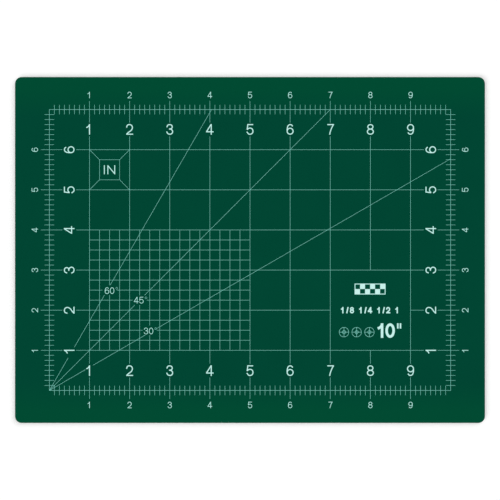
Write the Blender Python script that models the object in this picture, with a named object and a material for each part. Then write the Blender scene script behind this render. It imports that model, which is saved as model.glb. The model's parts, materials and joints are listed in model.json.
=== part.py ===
"""Self-healing cutting mat: a flat five-ply sheet, 297.5 x 219 x 3 mm, with a ten by seven inch
ruler and grid printed on its cutting face.

The origin is the centre of the underside. +X runs along the long side, from the ruler's zero
corner to the right, +Y runs from the near edge to the far edge and +Z points up, out of the
cutting face. Every length is in metres and every angle in degrees.
"""

import math

import bmesh
import bpy
from mathutils import Vector
from mathutils.geometry import delaunay_2d_cdt

# The sheet, as it is die-cut.
MAT_LENGTH = 0.2975
MAT_WIDTH = 0.219
CORNER_RADIUS = 0.0042
CORNER_STEPS = 6

# The laminate, in plies. A bond line is the thin bed of adhesive between two layers.
SKIN_THICKNESS = 0.0006
CUSHION_THICKNESS = 0.0005
CORE_THICKNESS = 0.00072
BOND_LINE = 0.00002
RIM_RADIUS = 0.0003
RIM_STEPS = 2
RIM_SHARE_OF_SKIN = 0.8
ROUND_PROFILE = 0.5

# The print: a film of ink, as thick as a screen lays it down. Two films that meet keep a
# hairline between them.
INK_THICKNESS = 0.00003
LINE_WIDTH = 0.0002
RULER_LINE_WIDTH = 0.00022
FILM_CLEARANCE = 0.00005

# The printed field holds as many whole inches as fit inside the least border.
INCH_PITCH = 0.0254
LEAST_BORDER = 0.02

# The ruler's graduations, measured from the ruler line.
TICKS_PER_INCH = 8
TICK_REACH = 0.003
INCH_MARK_OUTWARD = 0.0054
INCH_MARK_INWARD = 0.0082
NUMERAL_ROOM = 0.0088

# The fine grid, in whole inches: where it starts, and what it leaves plain above and beside it.
FINE_PER_INCH = 4
FINE_START = 1
FINE_FREE_COLUMNS = 5
FINE_FREE_ROWS = 3

# The bare panel, in whole inches: its side, and its distance from the ruler's near corner.
PANEL_INCHES = 2
PANEL_INSET = 1

# The unit box: a small square, a share of its one-inch cell, joined to the cell's corners by
# four diagonals.
UNIT_CELL_COLUMN = 1
UNIT_CELL_FROM_TOP = 2
UNIT_SQUARE_SHARE = 0.5

# Angle guides from the zero corner, each with the centre of its label window in inches. They
# break at the label windows, and beside the first numerals on the side and on the bottom.
ANGLE_LABELS = {60: (1.5, 2.5), 45: (2.25, 2.25), 30: (2.5, 1.5)}
LABEL_WINDOW_HALF_WIDTH = 0.0045
LABEL_WINDOW_HALF_HEIGHT = 0.0031
SIDE_ONE_BEFORE = 0.0048
SIDE_ONE_AFTER = 0.002
BOTTOM_ONE_BEFORE = 0.00255
BOTTOM_ONE_AFTER = 0.0023

# Worked out from the sizes above. The panel and the fine grid are (left, bottom, right, top).
COLUMNS = int((MAT_LENGTH - 2 * LEAST_BORDER) / INCH_PITCH)
ROWS = int((MAT_WIDTH - 2 * LEAST_BORDER) / INCH_PITCH)
FIELD_LENGTH = COLUMNS * INCH_PITCH
FIELD_WIDTH = ROWS * INCH_PITCH
GRID_INSET = INCH_MARK_INWARD + NUMERAL_ROOM
GRID_BOX = (GRID_INSET, GRID_INSET, FIELD_LENGTH - GRID_INSET, FIELD_WIDTH - GRID_INSET)
FINE_BLOCK = (FINE_START, FINE_START, COLUMNS - FINE_FREE_COLUMNS, ROWS - FINE_FREE_ROWS)
PANEL_RIGHT = COLUMNS - PANEL_INSET
PANEL_BLOCK = (PANEL_RIGHT - PANEL_INCHES, PANEL_INSET, PANEL_RIGHT, PANEL_INSET + PANEL_INCHES)

# Tolerances of the drawing.
SMALLEST_STEP = 1e-9
MERGE_DISTANCE = 1e-7
FLAT_ANGLE = 0.001
SHARP_ANGLE = math.radians(40)

# Colours are linear red, green and blue, followed by a roughness.
SKIN_GREEN = ((0.0006, 0.060, 0.033), 0.62)
CUSHION_GREEN = ((0.004, 0.085, 0.052), 0.75)
CORE_WHITE = ((0.62, 0.63, 0.58), 0.55)
INK_WHITE = ((0.62, 0.87, 0.84), 0.5)


def clear_scene():
    for thing in list(bpy.data.objects):
        bpy.data.objects.remove(thing)


def finish_for(node, colour_and_roughness):
    """A plain plastic finish with its own name for each layer."""
    colour, roughness = colour_and_roughness
    material = bpy.data.materials.new(node + "_finish")
    material.use_nodes = True
    shader = material.node_tree.nodes["Principled BSDF"]
    shader.inputs["Base Color"].default_value = (*colour, 1.0)
    shader.inputs["Roughness"].default_value = roughness
    shader.inputs["Metallic"].default_value = 0.0
    material.diffuse_color = (*colour, 1.0)
    return material


def add_layer(node, bm, finish, parent, location):
    """Turns a bmesh into a named object, shaded smooth except at its sharp edges."""
    mesh = bpy.data.meshes.new(node)
    bm.to_mesh(mesh)
    bm.free()
    mesh.shade_smooth()
    mesh.set_sharp_from_angle(angle=SHARP_ANGLE)
    mesh.materials.append(finish_for(node, finish))
    layer = bpy.data.objects.new(node, mesh)
    bpy.context.collection.objects.link(layer)
    layer.parent = parent
    layer.location = location
    return layer


def raise_faces(bm, thickness):
    """Extrudes every flat face of a bmesh upwards into a closed sheet."""
    raised = bmesh.ops.extrude_face_region(bm, geom=bm.faces[:])["geom"]
    upper_points = [part for part in raised if isinstance(part, bmesh.types.BMVert)]
    bmesh.ops.translate(bm, vec=(0.0, 0.0, thickness), verts=upper_points)
    bmesh.ops.recalc_face_normals(bm, faces=bm.faces)


def rounded_outline():
    """The die-cut outline of the sheet, anticlockwise, with an arc at each corner."""
    across = MAT_LENGTH / 2 - CORNER_RADIUS
    along = MAT_WIDTH / 2 - CORNER_RADIUS
    centres = ((across, along), (-across, along), (-across, -along), (across, -along))
    points = []
    for quarter, (x, y) in enumerate(centres):
        for step in range(CORNER_STEPS + 1):
            turn = math.radians(90 * (quarter + step / CORNER_STEPS))
            points.append((x + CORNER_RADIUS * math.cos(turn), y + CORNER_RADIUS * math.sin(turn)))
    return points


def round_rim(bm, height, skin_thickness):
    """Eases the rim of a skin at the height of its outer face."""
    rim = [edge for edge in bm.edges if all(abs(v.co.z - height) < SMALLEST_STEP for v in edge.verts)]
    radius = min(RIM_RADIUS, RIM_SHARE_OF_SKIN * skin_thickness)
    bmesh.ops.bevel(
        bm, geom=rim, offset=radius, segments=RIM_STEPS, profile=ROUND_PROFILE, affect="EDGES"
    )


def ply(node, thickness, level, finish, parent, outer_side):
    """One sheet of the laminate. A skin has its outer rim, above or below, slightly rounded."""
    bm = bmesh.new()
    bm.faces.new([bm.verts.new((x, y, 0.0)) for x, y in rounded_outline()])
    raise_faces(bm, thickness)
    if outer_side:
        round_rim(bm, thickness if outer_side == "above" else 0.0, thickness)
    return add_layer(node, bm, finish, parent, (0.0, 0.0, level))


def laminate(parent):
    """Stacks the five plies from the underside up, and returns the height of the cutting face."""
    stack = (
        ("bottom_skin", SKIN_THICKNESS, SKIN_GREEN, "below"),
        ("lower_cushion", CUSHION_THICKNESS, CUSHION_GREEN, None),
        ("core_sheet", CORE_THICKNESS, CORE_WHITE, None),
        ("upper_cushion", CUSHION_THICKNESS, CUSHION_GREEN, None),
        ("top_skin", SKIN_THICKNESS, SKIN_GREEN, "above"),
    )
    level = 0.0
    for node, thickness, finish, outer_side in stack:
        ply(node, thickness, level, finish, parent, outer_side)
        level += thickness + BOND_LINE
    return level - BOND_LINE


def along_line(line, share):
    (x0, y0), (x1, y1) = line
    return (x0 + (x1 - x0) * share, y0 + (y1 - y0) * share)


def shares_inside(line, box):
    """Where a line runs inside a box, as two shares of its length, or None where it misses."""
    (x0, y0), (x1, y1) = line
    enter, leave = 0.0, 1.0
    for start, step, low, high in ((x0, x1 - x0, box[0], box[2]), (y0, y1 - y0, box[1], box[3])):
        if abs(step) < SMALLEST_STEP:
            if not low + SMALLEST_STEP < start < high - SMALLEST_STEP:
                return None
            continue
        first, last = sorted(((low - start) / step, (high - start) / step))
        enter, leave = max(enter, first), min(leave, last)
    return (enter, leave) if enter < leave else None


def inside(lines, box):
    """The stretches of some lines that lie within a box."""
    kept = []
    for line in lines:
        shares = shares_inside(line, box)
        if shares:
            kept.append((along_line(line, shares[0]), along_line(line, shares[1])))
    return kept


def interrupted(lines, windows):
    """The same lines, broken off at the edges of each window that they would cross."""
    for window in windows:
        kept = []
        for line in lines:
            shares = shares_inside(line, window)
            if shares is None:
                kept.append(line)
                continue
            if shares[0] > 0.0:
                kept.append((line[0], along_line(line, shares[0])))
            if shares[1] < 1.0:
                kept.append((along_line(line, shares[1]), line[1]))
        lines = kept
    return lines


def divisions(first, last, per_inch):
    """Places between two inch marks, each with whether it falls on a whole inch."""
    numbers = range(first * per_inch + 1, last * per_inch)
    return [(number * INCH_PITCH / per_inch, number % per_inch == 0) for number in numbers]


def graduations():
    """Ticks and inch marks across all four ruler lines."""
    marks = []
    for count, far in ((COLUMNS, FIELD_WIDTH), (ROWS, FIELD_LENGTH)):
        for place, on_inch in divisions(0, count, TICKS_PER_INCH):
            outward = INCH_MARK_OUTWARD if on_inch else TICK_REACH
            inward = INCH_MARK_INWARD if on_inch else TICK_REACH
            for low, high in ((-outward, inward), (far - inward, far + outward)):
                upright = count == COLUMNS
                marks.append(((place, low), (place, high)) if upright else ((low, place), (high, place)))
    return marks


def crossing_lines(block, per_inch, on_inches):
    """Upright and level lines across a block of whole inches, on the inches or between them."""
    left, bottom, right, top = (side * INCH_PITCH for side in block)
    columns = divisions(block[0], block[2], per_inch)
    rows = divisions(block[1], block[3], per_inch)
    upright = [((place, bottom), (place, top)) for place, on_inch in columns if on_inch == on_inches]
    level = [((left, place), (right, place)) for place, on_inch in rows if on_inch == on_inches]
    return upright + level


def unit_box():
    """The small square in its one-inch cell, and the diagonals that tie it to the cell's corners."""
    row = ROWS - UNIT_CELL_FROM_TOP
    half = INCH_PITCH / 2
    centre = Vector((UNIT_CELL_COLUMN, row)) * INCH_PITCH + Vector((half, half))
    corners = [Vector(corner) for corner in ((-half, -half), (half, -half), (half, half), (-half, half))]
    inner = [centre + corner * UNIT_SQUARE_SHARE for corner in corners]
    outer = [centre + corner for corner in corners]
    sides = []
    for start, end in zip(inner, inner[1:] + inner[:1]):
        overrun = (end - start).normalized() * LINE_WIDTH / 2
        sides.append((start - overrun, end + overrun))
    return sides + list(zip(inner, outer))


def label_windows():
    """The bare rooms of the angle labels, which every line of the grid leaves free."""
    windows = []
    for column, row in ANGLE_LABELS.values():
        x, y = column * INCH_PITCH, row * INCH_PITCH
        low = (x - LABEL_WINDOW_HALF_WIDTH, y - LABEL_WINDOW_HALF_HEIGHT)
        high = (x + LABEL_WINDOW_HALF_WIDTH, y + LABEL_WINDOW_HALF_HEIGHT)
        windows.append(low + high)
    return windows


def first_numeral_windows():
    """The rooms of the two numerals next to the zero corner, on the side and on the bottom."""
    side = (INCH_MARK_INWARD, INCH_PITCH - SIDE_ONE_BEFORE, GRID_INSET, INCH_PITCH + SIDE_ONE_AFTER)
    bottom = (INCH_PITCH - BOTTOM_ONE_BEFORE, INCH_MARK_INWARD, INCH_PITCH + BOTTOM_ONE_AFTER, GRID_INSET)
    return [side, bottom]


def angle_guide(angle):
    """One guide in three stretches: by the zero corner, over the grid, and up to the ruler."""
    direction = (math.cos(math.radians(angle)), math.sin(math.radians(angle)))
    length = min(FIELD_LENGTH / direction[0], FIELD_WIDTH / direction[1])
    guide = ((0.0, 0.0), (length * direction[0], length * direction[1]))
    enter, leave = shares_inside(guide, GRID_BOX)
    clearance = FILM_CLEARANCE / length
    corner_end, grid_start = enter - clearance, enter
    for window in first_numeral_windows():
        shares = shares_inside(guide, window)
        if shares and shares[0] < enter:
            corner_end, grid_start = shares
    corner = (guide[0], along_line(guide, corner_end))
    middle = (along_line(guide, grid_start), along_line(guide, leave))
    far = (along_line(guide, leave + clearance), guide[1])
    return corner, middle, far


def strips(lines, width):
    """Printed lines as four corners each, square at both ends."""
    made = []
    for line in lines:
        start, end = (Vector(point) for point in line)
        if (end - start).length <= width:
            continue
        along = (end - start).normalized() * width / 2
        side = Vector((-along.y, along.x))
        made.append([start + side, start - side, end - side, end + side])
    return made


def ruler_strips():
    """Everything printed round the edge: the ruler line, its graduations and the guides' ends."""
    overrun = RULER_LINE_WIDTH / 2
    right, top = FIELD_LENGTH, FIELD_WIDTH
    frame = [
        ((-overrun, 0.0), (right + overrun, 0.0)),
        ((-overrun, top), (right + overrun, top)),
        ((0.0, 0.0), (0.0, top)),
        ((right, 0.0), (right, top)),
    ]
    lines = graduations()
    for angle in ANGLE_LABELS:
        corner, _, far = angle_guide(angle)
        lines += [corner, far]
    return strips(frame, RULER_LINE_WIDTH) + strips(lines, LINE_WIDTH)


def grid_strips():
    """Everything printed inside the numerals: inch grid, fine grid, unit box and angle guides."""
    panel = tuple(side * INCH_PITCH for side in PANEL_BLOCK)
    lines = interrupted(crossing_lines((0, 0, COLUMNS, ROWS), 1, True), [panel])
    lines += crossing_lines(FINE_BLOCK, FINE_PER_INCH, False)
    lines = inside(lines + unit_box(), GRID_BOX)
    lines += [angle_guide(angle)[1] for angle in ANGLE_LABELS]
    return strips(interrupted(lines, label_windows()), LINE_WIDTH)


def film(node, outlines, parent, level):
    """Merges crossing strips into one flat outline and raises it into a film of ink."""
    points = [corner for outline in outlines for corner in outline]
    faces = [list(range(first, first + 4)) for first in range(0, len(points), 4)]
    spots, _, pieces, _, _, covered_by = delaunay_2d_cdt(points, [], faces, 1, MERGE_DISTANCE)
    bm = bmesh.new()
    corners = [bm.verts.new((spot.x, spot.y, 0.0)) for spot in spots]
    for piece, sources in zip(pieces, covered_by):
        if sources:
            bm.faces.new([corners[index] for index in piece])
    loose = [corner for corner in corners if not corner.link_faces]
    bmesh.ops.delete(bm, geom=loose, context="VERTS")
    bmesh.ops.dissolve_limit(bm, angle_limit=FLAT_ANGLE, verts=bm.verts, edges=bm.edges)
    raise_faces(bm, INK_THICKNESS)
    zero_corner = (-FIELD_LENGTH / 2, -FIELD_WIDTH / 2, level)
    return add_layer(node, bm, INK_WHITE, parent, zero_corner)


def cutting_mat():
    mat = bpy.data.objects.new("cutting_mat", None)
    bpy.context.collection.objects.link(mat)
    ink_level = laminate(mat) + BOND_LINE
    film("ruler_print", ruler_strips(), mat, ink_level)
    film("grid_print", grid_strips(), mat, ink_level)


clear_scene()
cutting_mat()
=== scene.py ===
# %% [markdown]
# # A self-healing cutting mat with a printed inch ruler
#
# The mat is a sheet of five vinyl layers, glued together and stamped out with rounded corners.
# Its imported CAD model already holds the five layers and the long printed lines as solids, so
# this lesson adds what the eye reads next: the finish of every layer and the small print.
# The model is loaded first and is never moved, because everything else takes its place from it.

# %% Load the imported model
import json
import math

import bmesh
import bpy
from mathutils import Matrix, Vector
from mathutils.geometry import delaunay_2d_cdt

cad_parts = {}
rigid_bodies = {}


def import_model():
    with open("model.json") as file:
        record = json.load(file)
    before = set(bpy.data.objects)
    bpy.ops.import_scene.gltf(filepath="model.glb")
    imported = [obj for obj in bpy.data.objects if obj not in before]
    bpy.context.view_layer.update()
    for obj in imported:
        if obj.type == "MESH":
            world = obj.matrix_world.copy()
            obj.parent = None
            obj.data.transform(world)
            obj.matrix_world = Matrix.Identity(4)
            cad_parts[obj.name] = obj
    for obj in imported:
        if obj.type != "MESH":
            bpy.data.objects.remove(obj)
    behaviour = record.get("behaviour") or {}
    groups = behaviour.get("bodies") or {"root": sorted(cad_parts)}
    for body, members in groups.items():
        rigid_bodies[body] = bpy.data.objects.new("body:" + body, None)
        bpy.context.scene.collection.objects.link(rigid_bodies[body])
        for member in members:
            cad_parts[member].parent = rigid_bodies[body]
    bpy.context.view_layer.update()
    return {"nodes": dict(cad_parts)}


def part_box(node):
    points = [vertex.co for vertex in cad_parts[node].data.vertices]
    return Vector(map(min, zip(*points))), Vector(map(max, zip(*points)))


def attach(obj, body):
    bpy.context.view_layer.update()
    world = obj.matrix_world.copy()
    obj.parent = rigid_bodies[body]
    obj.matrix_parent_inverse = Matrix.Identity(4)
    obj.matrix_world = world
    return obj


MM_PER_METRE = 1000


def in_mm(lengths, digits=2):
    """Lengths in metres as rounded millimetres, for printing."""
    return [round(length * MM_PER_METRE, digits) for length in lengths]


for thing in list(bpy.data.objects):
    bpy.data.objects.remove(thing)

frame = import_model()
print("layers and films:", ", ".join(sorted(frame["nodes"])))

# %% [markdown]
# ## Where the print lies
#
# A printed mat is measured in its own inches. The ruler's zero corner is at the near left, the
# field is ten inches by seven, and it is centred on the sheet. Writing places in inches from
# the zero corner keeps the numbers readable, and one helper turns them into metres.

# %% The ruler's own coordinates
INCH = 0.0254
COLUMNS, ROWS = 10, 7
FIELD = Vector((COLUMNS * INCH, ROWS * INCH))

ink_low, ink_high = (corner.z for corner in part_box("ruler_print"))
INK_FILM = ink_high - ink_low


def at_inches(column, row):
    """A place on the mat, counted in inches from the ruler's zero corner."""
    return Vector((column * INCH, row * INCH)) - FIELD / 2


print("field in mm:", in_mm(FIELD), "and ink film in mm:", in_mm([INK_FILM], 3))

# %% [markdown]
# ## The camera
#
# The photograph looks straight down and shows no edge of the sheet, as a picture for a shop
# page does. A camera close by would splay the sides, and an orthographic one would look flat
# from other angles. A long lens two metres up gives nearly parallel sight lines and still
# behaves like a lens. Its focal length follows from the width of table in the picture.

# %% Camera straight above, with a long lens
CAMERA_HEIGHT = 2.0
PIXELS_ACROSS = 500
PIXELS_PER_METRE = 1579.8
SENSOR_WIDTH = 0.036

camera_data = bpy.data.cameras.new("overhead_camera")
camera = bpy.data.objects.new("overhead_camera", camera_data)
bpy.context.collection.objects.link(camera)
bpy.context.scene.camera = camera

seen_width = PIXELS_ACROSS / PIXELS_PER_METRE
camera_data.sensor_width = SENSOR_WIDTH * MM_PER_METRE
camera_data.lens = CAMERA_HEIGHT / seen_width * SENSOR_WIDTH * MM_PER_METRE
camera.location = (0.0, 0.0, ink_high + CAMERA_HEIGHT)
print("lens:", round(camera_data.lens, 1), "mm, table in view:", in_mm([seen_width], 0), "mm")

# %% [markdown]
# ## Studio light
#
# Flat artwork is lit evenly from both sides, so that neither half is brighter and no lamp
# mirrors into the lens. Area lamps would do, but their light falls off with distance. Two wide
# suns at a slant give the same level all over the sheet and soft short shadows. The sky adds
# the rest. The three together bring a white sheet to white, so colours render as written.

# %% Two soft suns and a pale sky
SKY_SHARE, KEY_SHARE, FILL_SHARE = 0.46, 0.30, 0.24
KEY_AZIMUTH, FILL_AZIMUTH = math.radians(-50), math.radians(130)
SUN_HEIGHT = math.radians(48)
SUN_WIDTH = math.radians(50)

for name, share, azimuth in (
    ("key_sun", KEY_SHARE, KEY_AZIMUTH),
    ("fill_sun", FILL_SHARE, FILL_AZIMUTH),
):
    sun = bpy.data.lights.new(name, "SUN")
    sun.energy = share * math.pi / math.sin(SUN_HEIGHT)
    sun.angle = SUN_WIDTH
    lamp = bpy.data.objects.new(name, sun)
    lamp.rotation_euler = (math.pi / 2 - SUN_HEIGHT, 0.0, azimuth)
    bpy.context.collection.objects.link(lamp)
    print(name, "strength", round(sun.energy, 2))

bpy.context.scene.view_settings.view_transform = "Standard"

# %% [markdown]
# ## A short way to write node trees
#
# Every finish below is made of nodes, so a few helpers come first. One adds a node and feeds
# its inputs, either with numbers or with another node's output, and the short ones for sums,
# ranges, blends and noise build on it. The last one starts a group with named inputs and
# outputs, so that one effect can serve several materials.

# %% Helpers for single nodes
MIX_FIRST, MIX_SECOND, MIX_RESULT = 6, 7, 2  # where a Mix node keeps its colour sockets


def node(tree, kind, feeds=None, **options):
    """Adds one node, sets its options, and feeds its inputs with values or with sockets."""
    made = tree.nodes.new(kind)
    for option, value in options.items():
        setattr(made, option, value)
    for socket, value in (feeds or {}).items():
        if isinstance(value, bpy.types.NodeSocket):
            tree.links.new(value, made.inputs[socket])
        else:
            made.inputs[socket].default_value = value
    return made


def maths(tree, operation, *values):
    """One sum on numbers or sockets."""
    feeds = dict(enumerate(values))
    return node(tree, "ShaderNodeMath", feeds, operation=operation).outputs[0]


def remap(tree, value, low, high, new_low=0.0, new_high=1.0):
    """Stretches a range of a value to a new range, and holds it there."""
    feeds = {"Value": value, "From Min": low, "From Max": high}
    feeds |= {"To Min": new_low, "To Max": new_high}
    return node(tree, "ShaderNodeMapRange", feeds).outputs["Result"]


def blend(tree, share, first, second):
    """A colour between two colours."""
    feeds = {"Factor": share, MIX_FIRST: first, MIX_SECOND: second}
    return node(tree, "ShaderNodeMix", feeds, data_type="RGBA").outputs[MIX_RESULT]


def noise(tree, place, scale, detail, roughness=0.5):
    """A noise between nought and one, whose scale is the number of its clouds to a metre."""
    feeds = {"Vector": place, "Scale": scale, "Detail": detail, "Roughness": roughness}
    return node(tree, "ShaderNodeTexNoise", feeds).outputs["Fac"]


print("helpers for single nodes ready")

# %% Helpers for places and groups
def place_of(tree):
    """The point on the object's surface, in metres, which stays with the object as it moves."""
    return tree.nodes.new("ShaderNodeTexCoord").outputs["Object"]


def axes_of(tree, vector):
    """The X, Y and Z of a place or a direction."""
    return node(tree, "ShaderNodeSeparateXYZ", {"Vector": vector}).outputs


def drawn_out(tree, place, stretch, turn=0.0):
    """A place turned in degrees and scaled along each axis, so that a noise on it is drawn out."""
    feeds = {"Vector": place, "Rotation": (0.0, 0.0, math.radians(turn)), "Scale": stretch}
    return node(tree, "ShaderNodeMapping", feeds).outputs["Vector"]


def group(name, inputs, outputs):
    """An empty node group whose inputs are named numbers and whose outputs are named values."""
    tree = bpy.data.node_groups.new(name, "ShaderNodeTree")
    for label, value in inputs.items():
        socket = tree.interface.new_socket(
            label, in_out="INPUT", socket_type="NodeSocketFloat"
        )
        socket.default_value = value
    for label in outputs:
        tree.interface.new_socket(label, in_out="OUTPUT", socket_type="NodeSocketFloat")
    return tree, tree.nodes.new("NodeGroupInput").outputs, tree.nodes.new("NodeGroupOutput")


print("helpers for places and groups ready")

# %% [markdown]
# ## The floor and the white background
#
# The mat lies on a white table. The floor is a plain matt sheet that takes the mat's soft
# shadow. To the camera, and in mirrors and glass, it also gives off a little light of its own,
# which lifts it to clean white without lighting the mat any more. The sky does the same.

# %% The floor
WHITE = (1.0, 1.0, 1.0, 1.0)
CORNER_SIGNS = ((-1, -1), (1, -1), (1, 1), (-1, 1))
FLOOR_SIZE = 24.0
FLOOR_GAP = 0.0001
FLOOR_COLOUR = (0.8, 0.8, 0.8, 1.0)
FLOOR_ROUGHNESS = 0.9
FLOOR_GLOW = 0.24


def seen_directly(tree):
    """One for rays from the camera and for rays in mirrors and glass, and nought for the rest."""
    path = tree.nodes.new("ShaderNodeLightPath").outputs
    seen = maths(tree, "MAXIMUM", path["Is Camera Ray"], path["Is Glossy Ray"])
    return maths(tree, "MAXIMUM", seen, path["Is Transmission Ray"])


bm = bmesh.new()
half = FLOOR_SIZE / 2
bm.faces.new([bm.verts.new((x * half, y * half, -FLOOR_GAP)) for x, y in CORNER_SIGNS])
floor_mesh = bpy.data.meshes.new("floor")
bm.to_mesh(floor_mesh)
bm.free()
floor = bpy.data.objects.new("floor", floor_mesh)
bpy.context.collection.objects.link(floor)

floor_paper = bpy.data.materials.new("floor_paper")
floor_paper.use_nodes = True
tree = floor_paper.node_tree
paper = tree.nodes["Principled BSDF"]
paper.inputs["Base Color"].default_value = FLOOR_COLOUR
paper.inputs["Roughness"].default_value = FLOOR_ROUGHNESS
paper.inputs["Specular IOR Level"].default_value = 0.0
paper.inputs["Emission Color"].default_value = WHITE
glow = maths(tree, "MULTIPLY", seen_directly(tree), FLOOR_GLOW)
tree.links.new(glow, paper.inputs["Emission Strength"])
floor_mesh.materials.append(floor_paper)
print("floor", FLOOR_SIZE, "m wide")

# %% The sky
sky = bpy.data.worlds.new("pale_sky")
bpy.context.scene.world = sky
sky.use_nodes = True
tree = sky.node_tree
background = tree.nodes["Background"]
background.inputs["Color"].default_value = WHITE
strength = remap(tree, seen_directly(tree), 0.0, 1.0, SKY_SHARE, 1.0)
tree.links.new(strength, background.inputs["Strength"])
print("sky share of the light", SKY_SHARE)

# %% [markdown]
# ## Grain of the vinyl
#
# A new mat feels like fine orange peel: rollers press a shallow grain into the warm vinyl,
# which keeps a ruler from slipping and the lamp from glaring. Modelling the bumps would take
# millions of faces. A noise of about half a millimetre, fed to a bump node, catches the light
# in the same way. A slower noise goes along with it, for the faint clouds in the green.

# %% Group: matt grain
DIMPLE_SOFTNESS, DIMPLE_SHARE = 0.6, -0.5
CLOUD_RANGE = (0.3, 0.7)
POLISH_RANGE = (0.0, 0.6)

matt_grain, given, result = group(
    "matt_grain",
    {"Grain Size": 0.0005, "Cloud Size": 0.03},
    ("Height", "Clouds", "Polish"),
)
place = place_of(matt_grain)
grain_scale = maths(matt_grain, "DIVIDE", 1.0, given["Grain Size"])
cloud_scale = maths(matt_grain, "DIVIDE", 1.0, given["Cloud Size"])
pebbles = noise(matt_grain, place, grain_scale, detail=3.0, roughness=0.55)
cells = {"Vector": place, "Scale": grain_scale, "Smoothness": DIMPLE_SOFTNESS}
dimples = node(matt_grain, "ShaderNodeTexVoronoi", cells, feature="SMOOTH_F1").outputs
clouds = noise(matt_grain, place, cloud_scale, detail=4.0)
height = maths(matt_grain, "MULTIPLY_ADD", dimples["Distance"], DIMPLE_SHARE, pebbles)
matt_grain.links.new(height, result.inputs["Height"])
matt_grain.links.new(remap(matt_grain, clouds, *CLOUD_RANGE), result.inputs["Clouds"])
matt_grain.links.new(remap(matt_grain, height, *POLISH_RANGE), result.inputs["Polish"])
print("matt_grain:", len(matt_grain.nodes), "nodes")

# %% [markdown]
# ## Rubbed rims
#
# Handling rubs a mat first along its rim and at its corners, where the green turns a little
# paler and smoother. The Pointiness of the mesh would find the rim, but it changes with the
# number of faces. The distance to a rounded rectangle is exact, and takes only a few sums on
# the place of the point, so the rub follows the outline at any size.

# %% Group: rubbed rim
CORNER_RADIUS = 0.0042
PATCHES_PER_METRE = 260.0
PATCH_RANGE = (0.35, 0.65)

rubbed_rim, given, result = group(
    "rubbed_rim",
    {"Half Length": 0.15, "Half Width": 0.11, "Corner Radius": CORNER_RADIUS, "Reach": 0.002},
    ("Rub",),
)


def rim_sum(operation, *values):
    """One sum within the group for the rim."""
    return maths(rubbed_rim, operation, *values)


place = place_of(rubbed_rim)
spot = axes_of(rubbed_rim, place)
radius = given["Corner Radius"]
overhangs = []
for axis, side in (("X", "Half Length"), ("Y", "Half Width")):
    straight = rim_sum("SUBTRACT", given[side], radius)
    overhangs.append(rim_sum("SUBTRACT", rim_sum("ABSOLUTE", spot[axis]), straight))
beyond = [rim_sum("MAXIMUM", overhang, 0.0) for overhang in overhangs]
squares = [rim_sum("MULTIPLY", side, side) for side in beyond]
round_part = rim_sum("SQRT", rim_sum("ADD", *squares))
flat_part = rim_sum("MINIMUM", rim_sum("MAXIMUM", *overhangs), 0.0)
outside = rim_sum("SUBTRACT", rim_sum("ADD", round_part, flat_part), radius)
distance = rim_sum("MULTIPLY", outside, -1.0)
closeness = rim_sum("SUBTRACT", 1.0, rim_sum("DIVIDE", distance, given["Reach"]))
patches = noise(rubbed_rim, place, PATCHES_PER_METRE, detail=5.0)
uneven = rim_sum("MULTIPLY", closeness, remap(rubbed_rim, patches, *PATCH_RANGE))
rubbed_rim.links.new(remap(rubbed_rim, uneven, 0.0, 1.0), result.inputs["Rub"])
print("rubbed_rim:", len(rubbed_rim.nodes), "nodes")

# %% [markdown]
# ## Hairlines
#
# Even a new mat has been wiped, stacked and slid from its sleeve, which leaves hairlines that
# show only where the light grazes them. A line of scratches is a noise drawn out ninety times
# along one direction, of which only the highest crests are kept. Three directions crossing
# each other look random, and the marks change the polish alone, not the green.

# %% Group: hairlines
HAIRLINE_TURNS = (12.0, 71.0, 134.0)
HAIRLINE_STRETCH = (1.0, 90.0, 1.0)
CREST_RANGE = (0.66, 0.76)

hairlines, given, result = group("hairlines", {"Length": 0.02, "Amount": 0.5}, ("Marks",))
place = place_of(hairlines)
scale = maths(hairlines, "DIVIDE", 1.0, given["Length"])
marks = 0.0
for turn in HAIRLINE_TURNS:
    along = drawn_out(hairlines, place, HAIRLINE_STRETCH, turn)
    crests = remap(hairlines, noise(hairlines, along, scale, detail=2.0), *CREST_RANGE)
    marks = maths(hairlines, "MAXIMUM", marks, crests)
hairlines.links.new(maths(hairlines, "MULTIPLY", marks, given["Amount"]), result.inputs["Marks"])
print("hairlines:", len(hairlines.nodes), "nodes in", len(HAIRLINE_TURNS), "directions")

# %% [markdown]
# ## The stamped edge
#
# The press knife drags through the five layers and leaves fine upright furrows on the cut, a
# little duller than the faces. They are a noise that is squeezed along the outline and drawn
# out in height. The same group says where the cut is: wherever the surface faces sideways.

# %% Group: stamped edge
FURROW_STRETCH = (1.0, 1.0, 0.05)
NO_CUT_ABOVE, ALL_CUT_BELOW = 0.25, 0.05

stamped_edge, given, result = group("stamped_edge", {"Furrow Width": 0.00025}, ("Furrows", "Cut"))
upwards = drawn_out(stamped_edge, place_of(stamped_edge), FURROW_STRETCH)
furrow_scale = maths(stamped_edge, "DIVIDE", 1.0, given["Furrow Width"])
furrows = noise(stamped_edge, upwards, furrow_scale, detail=3.0, roughness=0.6)
facing = stamped_edge.nodes.new("ShaderNodeNewGeometry").outputs["True Normal"]
lean = maths(stamped_edge, "ABSOLUTE", axes_of(stamped_edge, facing)["Z"])
sideways = remap(stamped_edge, lean, NO_CUT_ABOVE, ALL_CUT_BELOW)
stamped_edge.links.new(furrows, result.inputs["Furrows"])
stamped_edge.links.new(sideways, result.inputs["Cut"])
print("stamped_edge:", len(stamped_edge.nodes), "nodes")

# %% [markdown]
# ## Ink off a screen
#
# The print is pushed through a woven mesh, whose threads leave a faint weave of thinner and
# thicker ink, and it is a touch uneven from place to place. Two crossing waves at the pitch of
# the threads give the weave, and a noise gives the drift in cover.

# %% Group: screened ink
COVER_PATCHES_PER_METRE = 900.0
COVER_RANGE = (0.3, 0.6)

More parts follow.
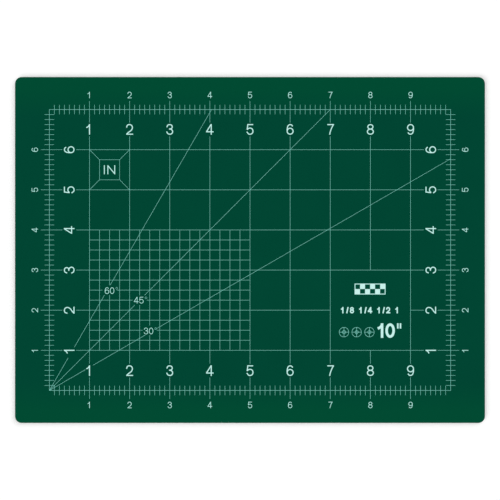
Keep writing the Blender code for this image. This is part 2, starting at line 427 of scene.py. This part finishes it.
screened_ink, given, result = group(
    "screened_ink", {"Thread Pitch": 0.00016}, ("Weave", "Cover")
)
place = place_of(screened_ink)
thread = axes_of(screened_ink, place)
waves = []
for axis in ("X", "Y"):
    phase = maths(screened_ink, "DIVIDE", thread[axis], given["Thread Pitch"])
    turns = maths(screened_ink, "MULTIPLY", phase, 2 * math.pi)
    waves.append(maths(screened_ink, "SINE", turns))
weave = maths(screened_ink, "MULTIPLY", *waves)
cover = noise(screened_ink, place, COVER_PATCHES_PER_METRE, detail=6.0, roughness=0.6)
screened_ink.links.new(remap(screened_ink, weave, -1.0, 1.0), result.inputs["Weave"])
screened_ink.links.new(remap(screened_ink, cover, *COVER_RANGE), result.inputs["Cover"])
print("screened_ink:", len(screened_ink.nodes), "nodes")

# %% [markdown]
# ## A base for every finish
#
# All layers are matt plastics. They differ in colour, roughness and relief, so one helper
# starts each material and another lays relief over it. The gloss of this vinyl is low and
# takes the colour of the green, and so it is set on the shader itself, once for each finish.

# %% Start a material, lay relief over it
HAIRLINE_LENGTH, HAIRLINE_AMOUNT, HAIRLINE_POLISH = 0.018, 0.6, 0.12


def matt_plastic(name, colour, roughness, gloss, gloss_tint):
    """A material with its constant values set on the Principled shader."""
    material = bpy.data.materials.new(name)
    material.use_nodes = True
    material.diffuse_color = (*colour, 1.0)
    shader = material.node_tree.nodes["Principled BSDF"]
    shader.inputs["Base Color"].default_value = (*colour, 1.0)
    shader.inputs["Roughness"].default_value = roughness
    shader.inputs["Specular IOR Level"].default_value = gloss
    shader.inputs["Specular Tint"].default_value = (*gloss_tint, 1.0)
    return material, material.node_tree, shader


def effect(tree, effect_group, **values):
    """Places a group in a material and sets its named inputs, Grain_Size for Grain Size."""
    placed = node(tree, "ShaderNodeGroup", node_tree=effect_group)
    for label, value in values.items():
        placed.inputs[label.replace("_", " ")].default_value = value
    return placed.outputs


def relief(tree, height, depth, below=None):
    """A bump of a given depth in metres, over another one if there is one."""
    feeds = {"Height": height, "Distance": depth, "Strength": 1.0}
    if below:
        feeds["Normal"] = below
    return node(tree, "ShaderNodeBump", feeds).outputs["Normal"]


def polished(tree, roughness):
    """A roughness that is lower along the hairlines."""
    marks = effect(tree, hairlines, Length=HAIRLINE_LENGTH, Amount=HAIRLINE_AMOUNT)["Marks"]
    return maths(tree, "SUBTRACT", roughness, maths(tree, "MULTIPLY", marks, HAIRLINE_POLISH))


print("base ready, hairlines polish by", HAIRLINE_POLISH)

# %% [markdown]
# ## Green skin
#
# The skin is dyed right through, a deep blue-green that the photograph shows almost without
# red. Two close greens mixed by the clouds keep it from looking like paint. A third, lighter
# green near the long edges is painted light: the brighter bands along the top and bottom.
# The rim is rubbed a little paler, the grain breaks up the gloss, and the hairlines polish it.

# %% Material: skin vinyl and the effects on it
SKIN_GREEN = (0.0002, 0.0545, 0.0295)
SKIN_GLOSS_TINT = (0.05, 0.85, 0.6)
SKIN_ROUGHNESS = 0.62

mat_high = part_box("top_skin")[1]
rim = {"Half_Length": mat_high.x, "Half_Width": mat_high.y, "Corner_Radius": CORNER_RADIUS}
skin_vinyl, tree, shader = matt_plastic(
    "skin_vinyl", SKIN_GREEN, SKIN_ROUGHNESS, gloss=0.07, gloss_tint=SKIN_GLOSS_TINT
)
grain = effect(tree, matt_grain, Grain_Size=0.00055, Cloud_Size=0.035)
rub = effect(tree, rubbed_rim, Reach=0.0012, **rim)["Rub"]
edge = effect(tree, stamped_edge, Furrow_Width=0.00022)
furrowed = maths(tree, "MULTIPLY", edge["Furrows"], edge["Cut"])
print("rubbed rim on a sheet of", in_mm([2 * mat_high.x, 2 * mat_high.y]), "mm")

# %% The green of the skin
SKIN_DEEP = (0.0001, 0.0512, 0.0278, 1.0)
SKIN_PALE = (0.0003, 0.0573, 0.0307, 1.0)
# painted light: a lighter green for the brighter bands along the two long edges
SKIN_PAINTED_LIGHT_BAND = (0.0002, 0.0630, 0.0285, 1.0)
SKIN_RUBBED = (0.004, 0.080, 0.046, 1.0)
SKIN_CUT = (0.002, 0.066, 0.038, 1.0)
GRAIN_SHARE, CLOUD_SHARE, RUB_SHARE = 0.5, 0.5, 0.6
LIGHT_BAND_START, LIGHT_BAND_END = 0.084, 0.102

cloudy = maths(tree, "MULTIPLY", grain["Clouds"], CLOUD_SHARE)
mottled = maths(tree, "MULTIPLY_ADD", grain["Polish"], GRAIN_SHARE, cloudy)
# painted light: towards the long edges the green turns lighter, standing in for brighter light
# there
off_middle_line = maths(tree, "ABSOLUTE", axes_of(tree, place_of(tree))["Y"])
painted_light_band = remap(tree, off_middle_line, LIGHT_BAND_START, LIGHT_BAND_END)
green = blend(tree, mottled, SKIN_DEEP, SKIN_PALE)
green = blend(tree, painted_light_band, green, SKIN_PAINTED_LIGHT_BAND)
green = blend(tree, maths(tree, "MULTIPLY", rub, RUB_SHARE), green, SKIN_RUBBED)
green = blend(tree, furrowed, green, SKIN_CUT)
tree.links.new(green, shader.inputs["Base Color"])
print("the green drifts from", in_mm([LIGHT_BAND_START]), "mm off the middle line")

# %% The polish and relief of the skin
ROUGH_HOLLOWS, ROUGH_CRESTS = 0.68, 0.56
GRAIN_DEPTH, FURROW_DEPTH = 0.000022, 0.00004

roughness = remap(tree, grain["Polish"], 0.0, 1.0, ROUGH_HOLLOWS, ROUGH_CRESTS)
tree.links.new(polished(tree, roughness), shader.inputs["Roughness"])
bumps = relief(tree, grain["Height"], GRAIN_DEPTH)
tree.links.new(relief(tree, furrowed, FURROW_DEPTH, bumps), shader.inputs["Normal"])
print("skin_vinyl:", len(tree.nodes), "nodes")

# %% [markdown]
# ## Cushion and core
#
# Between the skins lie two softer green sheets, which let the blade sink and close up behind
# it, and a stiff off-white one in the middle. Only their cut edges show, as stripes round the
# mat. The soft vinyl is paler, duller and more furrowed, and the core is hard and has specks.

# %% Material: cushion vinyl
CUSHION_GREEN = (0.005, 0.089, 0.055)
CUSHION_DEEP = (0.003, 0.078, 0.047, 1.0)
CUSHION_PALE = (0.007, 0.100, 0.063, 1.0)
CUSHION_GLOSS_TINT = (0.1, 0.9, 0.7)
CUSHION_ROUGHNESS, CUSHION_LEAST_ROUGH, CUSHION_MOST_ROUGH = 0.78, 0.74, 0.84
PORE_DEPTH, CUSHION_FURROW_DEPTH = 0.00003, 0.00006

cushion_vinyl, tree, shader = matt_plastic(
    "cushion_vinyl", CUSHION_GREEN, CUSHION_ROUGHNESS, gloss=0.12, gloss_tint=CUSHION_GLOSS_TINT
)
grain = effect(tree, matt_grain, Grain_Size=0.0002, Cloud_Size=0.012)
furrows = effect(tree, stamped_edge, Furrow_Width=0.0003)["Furrows"]
roughness = remap(tree, grain["Clouds"], 0.0, 1.0, CUSHION_LEAST_ROUGH, CUSHION_MOST_ROUGH)
tree.links.new(blend(tree, furrows, CUSHION_DEEP, CUSHION_PALE), shader.inputs["Base Color"])
tree.links.new(roughness, shader.inputs["Roughness"])
pores = relief(tree, grain["Height"], PORE_DEPTH)
tree.links.new(relief(tree, furrows, CUSHION_FURROW_DEPTH, pores), shader.inputs["Normal"])
print("cushion_vinyl:", len(tree.nodes), "nodes")

# %% Material: core sheet
CORE_WHITE = (0.62, 0.63, 0.58)
CORE_GREY = (0.54, 0.55, 0.50, 1.0)
CORE_PALE = (0.66, 0.67, 0.61, 1.0)
CORE_ROUGHNESS, CORE_LEAST_ROUGH, CORE_MOST_ROUGH = 0.55, 0.48, 0.62
CORE_FURROW_RANGE = (0.3, 0.7)
CORE_FURROW_DEPTH = 0.00003

core_plastic, tree, shader = matt_plastic(
    "core_plastic", CORE_WHITE, CORE_ROUGHNESS, gloss=0.35, gloss_tint=WHITE[:3]
)
specks = effect(tree, matt_grain, Grain_Size=0.0003, Cloud_Size=0.004)["Clouds"]
furrows = effect(tree, stamped_edge, Furrow_Width=0.00018)["Furrows"]
roughness = remap(tree, furrows, *CORE_FURROW_RANGE, CORE_LEAST_ROUGH, CORE_MOST_ROUGH)
tree.links.new(blend(tree, specks, CORE_GREY, CORE_PALE), shader.inputs["Base Color"])
tree.links.new(roughness, shader.inputs["Roughness"])
tree.links.new(relief(tree, furrows, CORE_FURROW_DEPTH), shader.inputs["Normal"])
print("core_plastic:", len(tree.nodes), "nodes")

# %% [markdown]
# ## Pale ink
#
# The ink is white with a drop of mint. In the middle of a broad stroke it lies as a full coat,
# but within an eighth of a millimetre of an edge it thins out and the green beneath shows
# through, so a line that is only two tenths wide looks minty all over. Both coats are the same
# tree with their own two colours. The weave gives them a satin relief, and the hairlines run
# on across them, because whatever scratched the mat scratched its print as well.

# %% Materials: mint ink as a full and as a thin coat
INK_COATS = {
    "full_coat": ((0.54, 0.84, 0.79), (0.60, 0.90, 0.85)),
    "thin_coat": ((0.15, 0.51, 0.43), (0.20, 0.60, 0.51)),
}
INK_ROUGHNESS, ROUGH_WHERE_THIN, ROUGH_WHERE_THICK = 0.5, 0.58, 0.44
WEAVE_DEPTH = 0.000003

coats = {}
for name, (thin, thick) in INK_COATS.items():
    coats[name], tree, shader = matt_plastic(
        name, thick, INK_ROUGHNESS, gloss=0.15, gloss_tint=WHITE[:3]
    )
    screen = effect(tree, screened_ink, Thread_Pitch=0.00016)
    colour = blend(tree, screen["Cover"], (*thin, 1.0), (*thick, 1.0))
    tree.links.new(colour, shader.inputs["Base Color"])
    roughness = remap(tree, screen["Cover"], 0.0, 1.0, ROUGH_WHERE_THIN, ROUGH_WHERE_THICK)
    tree.links.new(polished(tree, roughness), shader.inputs["Roughness"])
    tree.links.new(relief(tree, screen["Weave"], WEAVE_DEPTH), shader.inputs["Normal"])
    print(name, "has", len(tree.nodes), "nodes")

# %% [markdown]
# ## Finishes for the layers that the CAD gives
#
# The five layers and the two printed films have the right shape already. They keep it, and
# only their material slot is filled anew.

# %% Give each CAD layer its finish
FINISHES = {
    "bottom_skin": skin_vinyl,
    "lower_cushion": cushion_vinyl,
    "core_sheet": core_plastic,
    "upper_cushion": cushion_vinyl,
    "top_skin": skin_vinyl,
    "ruler_print": coats["thin_coat"],
    "grid_print": coats["thin_coat"],
}
for layer, finish in FINISHES.items():
    frame["nodes"][layer].material_slots[0].material = finish
    print(layer, "->", finish.name)

# %% [markdown]
# ## Numerals as strokes of a pen
#
# A ruler's numerals are plain upright shapes of even weight. Blender can set text, but its
# fonts have their own widths, and a font file would be one more thing to load. Here each sign
# is a few strokes of a broad pen: a centre line, given in a box that is two wide and one high,
# and a weight. Changing the weight then makes a light or a bold sign out of the same strokes.
# The word before each stroke says which of its ends reach out and end square.

# %% Pen strokes
CURVE_STEPS = 5
LOOP_STEPS = 32


def line(*points):
    """Straight pieces from point to point."""
    return [Vector(point) for point in points]


def curve(*points):
    """A smooth line through all the points."""
    stops = line(*points)
    ends = [2 * stops[0] - stops[1], *stops, 2 * stops[-1] - stops[-2]]
    drawn = [stops[0]]
    for a, b, c, d in zip(ends, ends[1:], ends[2:], ends[3:]):
        for step in range(1, CURVE_STEPS + 1):
            t = step / CURVE_STEPS
            bend = (2 * a - 5 * b + 4 * c - d) * t ** 2 + (3 * b - a - 3 * c + d) * t ** 3
            drawn.append((2 * b + (c - a) * t + bend) / 2)
    return drawn


def loop(x, y, across, up):
    """An upright ellipse, closed on itself."""
    turns = [2 * math.pi * step / LOOP_STEPS for step in range(LOOP_STEPS)]
    drawn = [Vector((x + across * math.cos(turn), y + up * math.sin(turn))) for turn in turns]
    return drawn + [drawn[0]]


def turned_over(strokes):
    """The same strokes, turned by half a turn within their box."""
    return [(ends, [Vector((-x, 1.0 - y)) for x, y in points]) for ends, points in strokes]


print("a curve takes", CURVE_STEPS, "steps from point to point, and a loop", LOOP_STEPS)

# %% The strokes of each sign
SIX = [
    ("none", loop(0.0, 0.31, 1.0, 0.31)),
    ("last", curve((-1.0, 0.31), (-0.99, 0.55), (-0.79, 0.83), (-0.40, 0.965), (0.05, 1.0),
                   (0.50, 0.96), (0.76, 0.86))),
]
STROKES = {
    "0": [("none", loop(0.0, 0.5, 1.0, 0.5))],
    "1": [
        ("both", line((0.0, 0.0), (0.0, 1.0))),
        ("last", curve((-0.02, 0.99), (-0.20, 0.88), (-0.52, 0.77), (-0.86, 0.71))),
    ],
    "2": [
        ("first", curve((-0.98, 0.74), (-0.78, 0.92), (-0.35, 0.995), (0.10, 1.0), (0.62, 0.93),
                        (0.93, 0.74), (0.80, 0.53), (0.36, 0.35), (-0.34, 0.20), (-0.96, 0.02))),
        ("both", line((-0.97, 0.0), (1.0, 0.0))),
    ],
    "3": [
        ("first", curve((-0.92, 0.77), (-0.66, 0.94), (-0.05, 1.0), (0.58, 0.94), (0.84, 0.76),
                        (0.55, 0.585), (-0.22, 0.54))),
        ("last", curve((-0.22, 0.54), (0.52, 0.50), (0.96, 0.31), (0.84, 0.12), (0.38, 0.01),
                       (-0.14, 0.0), (-0.66, 0.07), (-0.97, 0.23))),
    ],
    "4": [
        ("both", line((0.42, 0.0), (0.42, 1.0))),
        ("both", line((-1.0, 0.25), (0.98, 0.25))),
        ("none", line((0.37, 1.02), (-1.02, 0.27))),
    ],
    "5": [
        ("both", line((-0.72, 1.0), (0.88, 1.0))),
        ("none", line((-0.72, 1.05), (-0.97, 0.46))),
        ("last", curve((-0.93, 0.47), (-0.50, 0.60), (0.10, 0.635), (0.72, 0.55), (1.0, 0.33),
                       (0.80, 0.11), (0.20, 0.0), (-0.45, 0.02), (-0.97, 0.21))),
    ],
    "6": SIX,
    "7": [
        ("both", line((-0.82, 1.0), (1.08, 1.0))),
        ("last", curve((1.08, 1.0), (0.60, 0.73), (0.20, 0.43), (-0.06, 0.18), (-0.16, 0.0))),
    ],
    "8": [("none", loop(0.0, 0.765, 0.86, 0.235)), ("none", loop(0.0, 0.265, 1.0, 0.265))],
    "9": turned_over(SIX),
    "I": [("both", line((0.0, 0.0), (0.0, 1.0)))],
    "N": [
        ("both", line((-1.0, 0.0), (-1.0, 1.0))),
        ("both", line((1.0, 0.0), (1.0, 1.0))),
        ("none", line((-1.0, 1.0), (1.0, 0.0))),
    ],
    "/": [("both", line((-0.6, 0.0), (0.6, 1.0)))],
    '"': [("both", line((-1.0, 0.72), (-1.0, 1.0))), ("both", line((1.0, 0.72), (1.0, 1.0)))],
}
print("signs:", " ".join(STROKES))

# %% [markdown]
# ## From strokes to a film of ink
#
# A stroke becomes a ribbon: the centre line is offset to both sides, with mitred corners. A
# second, narrower ribbon marks where the coat is full, unless the stroke is too fine for one.
# Overlapping ribbons would flicker where they share a face, so all the ribbons of a piece are
# merged into one flat outline by a constrained triangulation, which also tells which ribbons
# cover each face. Points that are no corners are then dissolved, and the large faces that this
# leaves are cut into triangles as plump as they can be, so that none without area is passed on
# with the model. Last, the outline is raised by the thickness of the ink, as the ruler's is.

# %% Ribbons along the strokes
JOIN_LIMIT = 0.45
MERGE_DISTANCE = 1e-6
THIN_EDGE = 0.000125
LEAST_CORE = 0.00002
HALF_WIDTHS = {"1": 0.34, "4": 0.355, "I": 0.1, "N": 0.43, "/": 0.25, '"': 0.15}
HALF_WIDTH = 0.33


def stretched(points, ends, half):
    """A stroke whose open ends reach out by half its weight, so that they end square."""
    points = list(points)
    if ends in ("first", "both"):
        points[0] = points[0] + (points[0] - points[1]).normalized() * half
    if ends in ("last", "both"):
        points[-1] = points[-1] + (points[-1] - points[-2]).normalized() * half
    return points


def ribbon(points, half):
    """The four-sided pieces of a band of even width along a line."""
    closed = (points[0] - points[-1]).length < MERGE_DISTANCE
    steps = [(b - a).normalized() for a, b in zip(points, points[1:])]
    before = [steps[-1] if closed else steps[0], *steps]
    after = [*steps, steps[0] if closed else steps[-1]]
    sides = []
    for point, come, go in zip(points, before, after):
        mean = (come + go).normalized()
        reach = half / max(mean.dot(go), JOIN_LIMIT)
        offset = reach * Vector((-mean.y, mean.x))
        sides.append((point + offset, point - offset))
    return [[a[0], a[1], b[1], b[0]] for a, b in zip(sides, sides[1:])]


def band(points, weight, ends="none"):
    """A stroke in both coats: the thin one at full weight, and the full one inside its edges."""
    pieces = []
    for coat, half in enumerate((weight / 2, weight / 2 - THIN_EDGE)):
        if half > LEAST_CORE:
            pieces += [(coat, piece) for piece in ribbon(stretched(points, ends, half), half)]
    return pieces


def sign(character, centre, cap, weight, turn=0.0):
    """One sign, with its box centred on a point and turned in degrees."""
    half_width = HALF_WIDTHS.get(character, HALF_WIDTH) * cap - weight / 2
    cos, sin = math.cos(math.radians(turn)), math.sin(math.radians(turn))
    pieces = []
    for ends, points in STROKES[character]:
        flat = [(x * half_width, (y - 0.5) * (cap - weight)) for x, y in points]
        placed = [Vector((x * cos - y * sin, x * sin + y * cos)) + centre for x, y in flat]
        pieces += band(placed, weight, ends)
    return pieces


print("a fine line's core is left out under", in_mm([LEAST_CORE * 2]), "mm")

# %% Ribbons merged and raised
COATS = ("thin_coat", "full_coat")
FLAT_ANGLE = 0.001
ONLY_INSIDE = 1  # the triangulation then gives only the triangles inside the ribbons


def merged(pieces):
    """One flat mesh from overlapping pieces, where each face knows its coat."""
    corners, faces = [], []
    for _, piece in pieces:
        faces.append(list(range(len(corners), len(corners) + len(piece))))
        corners += piece
    spots, _, flats, _, _, sources = delaunay_2d_cdt(
        corners, [], faces, ONLY_INSIDE, MERGE_DISTANCE
    )
    bm = bmesh.new()
    points = [bm.verts.new((spot.x, spot.y, ink_low)) for spot in spots]
    for flat, source in zip(flats, sources):
        if source:
            face = bm.faces.new([points[index] for index in flat])
            face.material_index = max(pieces[index][0] for index in source)
    unused = [point for point in points if not point.link_faces]
    bmesh.ops.delete(bm, geom=unused, context="VERTS")
    bmesh.ops.dissolve_limit(
        bm, angle_limit=FLAT_ANGLE, verts=bm.verts, edges=bm.edges, delimit={"MATERIAL"}
    )
    bmesh.ops.dissolve_degenerate(bm, dist=MERGE_DISTANCE, edges=bm.edges)
    bmesh.ops.triangulate(bm, faces=bm.faces, ngon_method="BEAUTY")
    return bm


def in_fixed_order(parts):
    """Sorts edges or faces by their corners, because raising a film leaves them in any order."""
    ranked = sorted(parts, key=lambda part: sorted(point.index for point in part.verts))
    ranks = {part: rank for rank, part in enumerate(ranked)}
    parts.sort(key=ranks.get)


def ink_piece(name, pieces):
    """Raises merged pieces into a film of ink, and prints it on the mat."""
    bm = merged(pieces)
    raised = bmesh.ops.extrude_face_region(bm, geom=bm.faces[:])["geom"]
    upper = [part for part in raised if isinstance(part, bmesh.types.BMVert)]
    bmesh.ops.translate(bm, vec=(0.0, 0.0, INK_FILM), verts=upper)
    bmesh.ops.recalc_face_normals(bm, faces=bm.faces)
    bm.verts.index_update()
    in_fixed_order(bm.edges)
    in_fixed_order(bm.faces)
    mesh = bpy.data.meshes.new(name)
    bm.to_mesh(mesh)
    bm.free()
    for coat in COATS:
        mesh.materials.append(coats[coat])
    piece = bpy.data.objects.new(name, mesh)
    bpy.context.collection.objects.link(piece)
    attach(piece, "root")
    print(name, "has", len(mesh.polygons), "faces")


print("coats on a film:", ", ".join(COATS))

# %% [markdown]
# ## Large and small numerals
#
# Every inch mark has a large numeral inside the ruler line and a small one outside it. Along
# the top and bottom they stand upright. On both short sides they are turned by a quarter, with
# their tops to the left, so the row reads upwards from the zero corner.

# %% Numerals round the ruler
LARGE_CAP, LARGE_WEIGHT, LARGE_INWARD = 0.0068, 0.00074, 0.01255
SMALL_CAP, SMALL_WEIGHT, SMALL_OUTWARD = 0.0041, 0.00043, 0.0092
QUARTER_TURN = 90.0


def numeral_row(cap, weight, inward):
    """One numeral at each whole inch of all four sides, a given way in from the ruler line."""
    pieces = []
    for column in range(1, COLUMNS):
        for row, step in ((0, inward), (ROWS, -inward)):
            centre = at_inches(column, row) + Vector((0.0, step))
            pieces += sign(str(column), centre, cap, weight)
    for row in range(1, ROWS):
        for column, step in ((0, inward), (COLUMNS, -inward)):
            centre = at_inches(column, row) + Vector((step, 0.0))
            pieces += sign(str(row), centre, cap, weight, QUARTER_TURN)
    return pieces


ink_piece("large_numerals", numeral_row(LARGE_CAP, LARGE_WEIGHT, LARGE_INWARD))
ink_piece("small_numerals", numeral_row(SMALL_CAP, SMALL_WEIGHT, -SMALL_OUTWARD))

# %% [markdown]
# ## Angle labels and the unit mark
#
# The guides fan out from the zero corner at 30, 45 and 60 degrees. Each is broken for its
# label, two numerals and a small degree ring. The unit box holds the two letters for inches.

# %% Labels of the angle guides
LABEL_CAP, LABEL_WEIGHT = 0.0042, 0.00042
LABEL_PLACES = {"60": (1.5, 2.487), "45": (2.23, 2.25), "30": (2.472, 1.482)}
SIGN_PITCH = 0.77
DEGREE_SHIFT = Vector((0.0045, 0.0015))
DEGREE_RADIUS, DEGREE_WEIGHT = 0.00058, 0.00020


def word(text, centre, cap, weight, pitch=SIGN_PITCH):
    """Signs side by side, centred on a point, at a pitch given as a share of their height."""
    pieces = []
    for index, character in enumerate(text):
        step = (index - (len(text) - 1) / 2) * pitch * cap
        if character != " ":
            pieces += sign(character, centre + Vector((step, 0.0)), cap, weight)
    return pieces


def ring(centre, radius, weight):
    """A printed ring with a given radius to the middle of its line."""
    return band([point + centre for point in loop(0.0, 0.0, radius, radius)], weight)


labels = []
for text, inches in LABEL_PLACES.items():
    centre = at_inches(*inches)
    labels += word(text, centre, LABEL_CAP, LABEL_WEIGHT)
    labels += ring(centre + DEGREE_SHIFT, DEGREE_RADIUS, DEGREE_WEIGHT)
ink_piece("angle_labels", labels)

# %% Letters in the unit box
UNIT_CAP, UNIT_WEIGHT = 0.0058, 0.00064
UNIT_PLACE = (1.5, 5.5)
UNIT_LETTERS = {"I": -0.0033, "N": 0.0011}

unit = []
for letter, step in UNIT_LETTERS.items():
    unit += sign(letter, at_inches(*UNIT_PLACE) + Vector((step, 0.0)), UNIT_CAP, UNIT_WEIGHT)
ink_piece("unit_letters", unit)

# %% [markdown]
# ## The bare panel
#
# The grid leaves a panel of two inches by two free. It holds plain printer's marks: a scale
# bar in eighths of an inch, the parts of an inch as numbers, three register marks, and the
# length of the field, ten inches. They are made of squares, bars, rings and numerals, with
# the helpers above, and are printed in the same ink.

# %% Squares, frames and register marks
def block(centre, across, up):
    """A printed rectangle in both coats, as a stroke that is as wide as the rectangle is high."""
    pieces = []
    for coat, margin in enumerate((0.0, THIN_EDGE)):
        reach = Vector((across / 2 - margin, 0.0))
        stroke = ribbon([centre - reach, centre + reach], up / 2 - margin)
        pieces += [(coat, piece) for piece in stroke]
    return pieces


def outlined(centre, across, up, weight):
    """The frame of a rectangle, as one closed line."""
    corners = [centre + Vector((x * across / 2, y * up / 2)) for x, y in CORNER_SIGNS]
    return band([*corners, corners[0]], weight)


def register_mark(centre, radius, weight):
    """A printer's target: two rings and a cross."""
    pieces = ring(centre, radius, weight) + ring(centre, radius / 3, weight)
    for bar in (Vector((radius, 0.0)), Vector((0.0, radius))):
        pieces += band([centre - bar, centre + bar], weight)
    return pieces


PANEL = at_inches(8.0, 2.0)
print("middle of the panel in mm:", in_mm(PANEL))

# %% Marks in the panel
EIGHTH = INCH / 8
BAR_PLACE, BAR_COLUMNS, BAR_ROWS = Vector((-0.0002, 0.0134)), 6, 2
BAR_FRAME, BAR_BLEED = 0.0006, 0.00006
PARTS_TEXT, PARTS_PLACE = "1/8 1/4 1/2 1", Vector((-0.0002, 0.0))
PARTS_CAP, PARTS_WEIGHT, PARTS_PITCH = 0.0041, 0.00088, 0.7
REGISTER_PLACES = (-0.0167, -0.0087, -0.0006)
REGISTER_DROP, REGISTER_RADIUS, REGISTER_WEIGHT = -0.0139, 0.0030, 0.00026
LENGTH_PLACE, LENGTH_CAP = Vector((0.0124, -0.0129)), 0.0093
LENGTH_SIGNS = (("1", -0.0050, 0.0017), ("0", 0.0001, 0.0017), ('"', 0.0058, 0.0011))

marks = outlined(PANEL + BAR_PLACE, BAR_COLUMNS * EIGHTH, BAR_ROWS * EIGHTH, BAR_FRAME)
bar_middle = Vector((BAR_COLUMNS - 1, BAR_ROWS - 1)) / 2
for column in range(BAR_COLUMNS):
    for row in range(BAR_ROWS):
        if (column + row) % 2 == 0:
            step = (Vector((column, row)) - bar_middle) * EIGHTH
            marks += block(PANEL + BAR_PLACE + step, EIGHTH + BAR_BLEED, EIGHTH + BAR_BLEED)
marks += word(PARTS_TEXT, PANEL + PARTS_PLACE, PARTS_CAP, PARTS_WEIGHT, PARTS_PITCH)
for step in REGISTER_PLACES:
    marks += register_mark(
        PANEL + Vector((step, REGISTER_DROP)), REGISTER_RADIUS, REGISTER_WEIGHT
    )
for character, step, weight in LENGTH_SIGNS:
    marks += sign(character, PANEL + LENGTH_PLACE + Vector((step, 0.0)), LENGTH_CAP, weight)
ink_piece("panel_marks", marks)
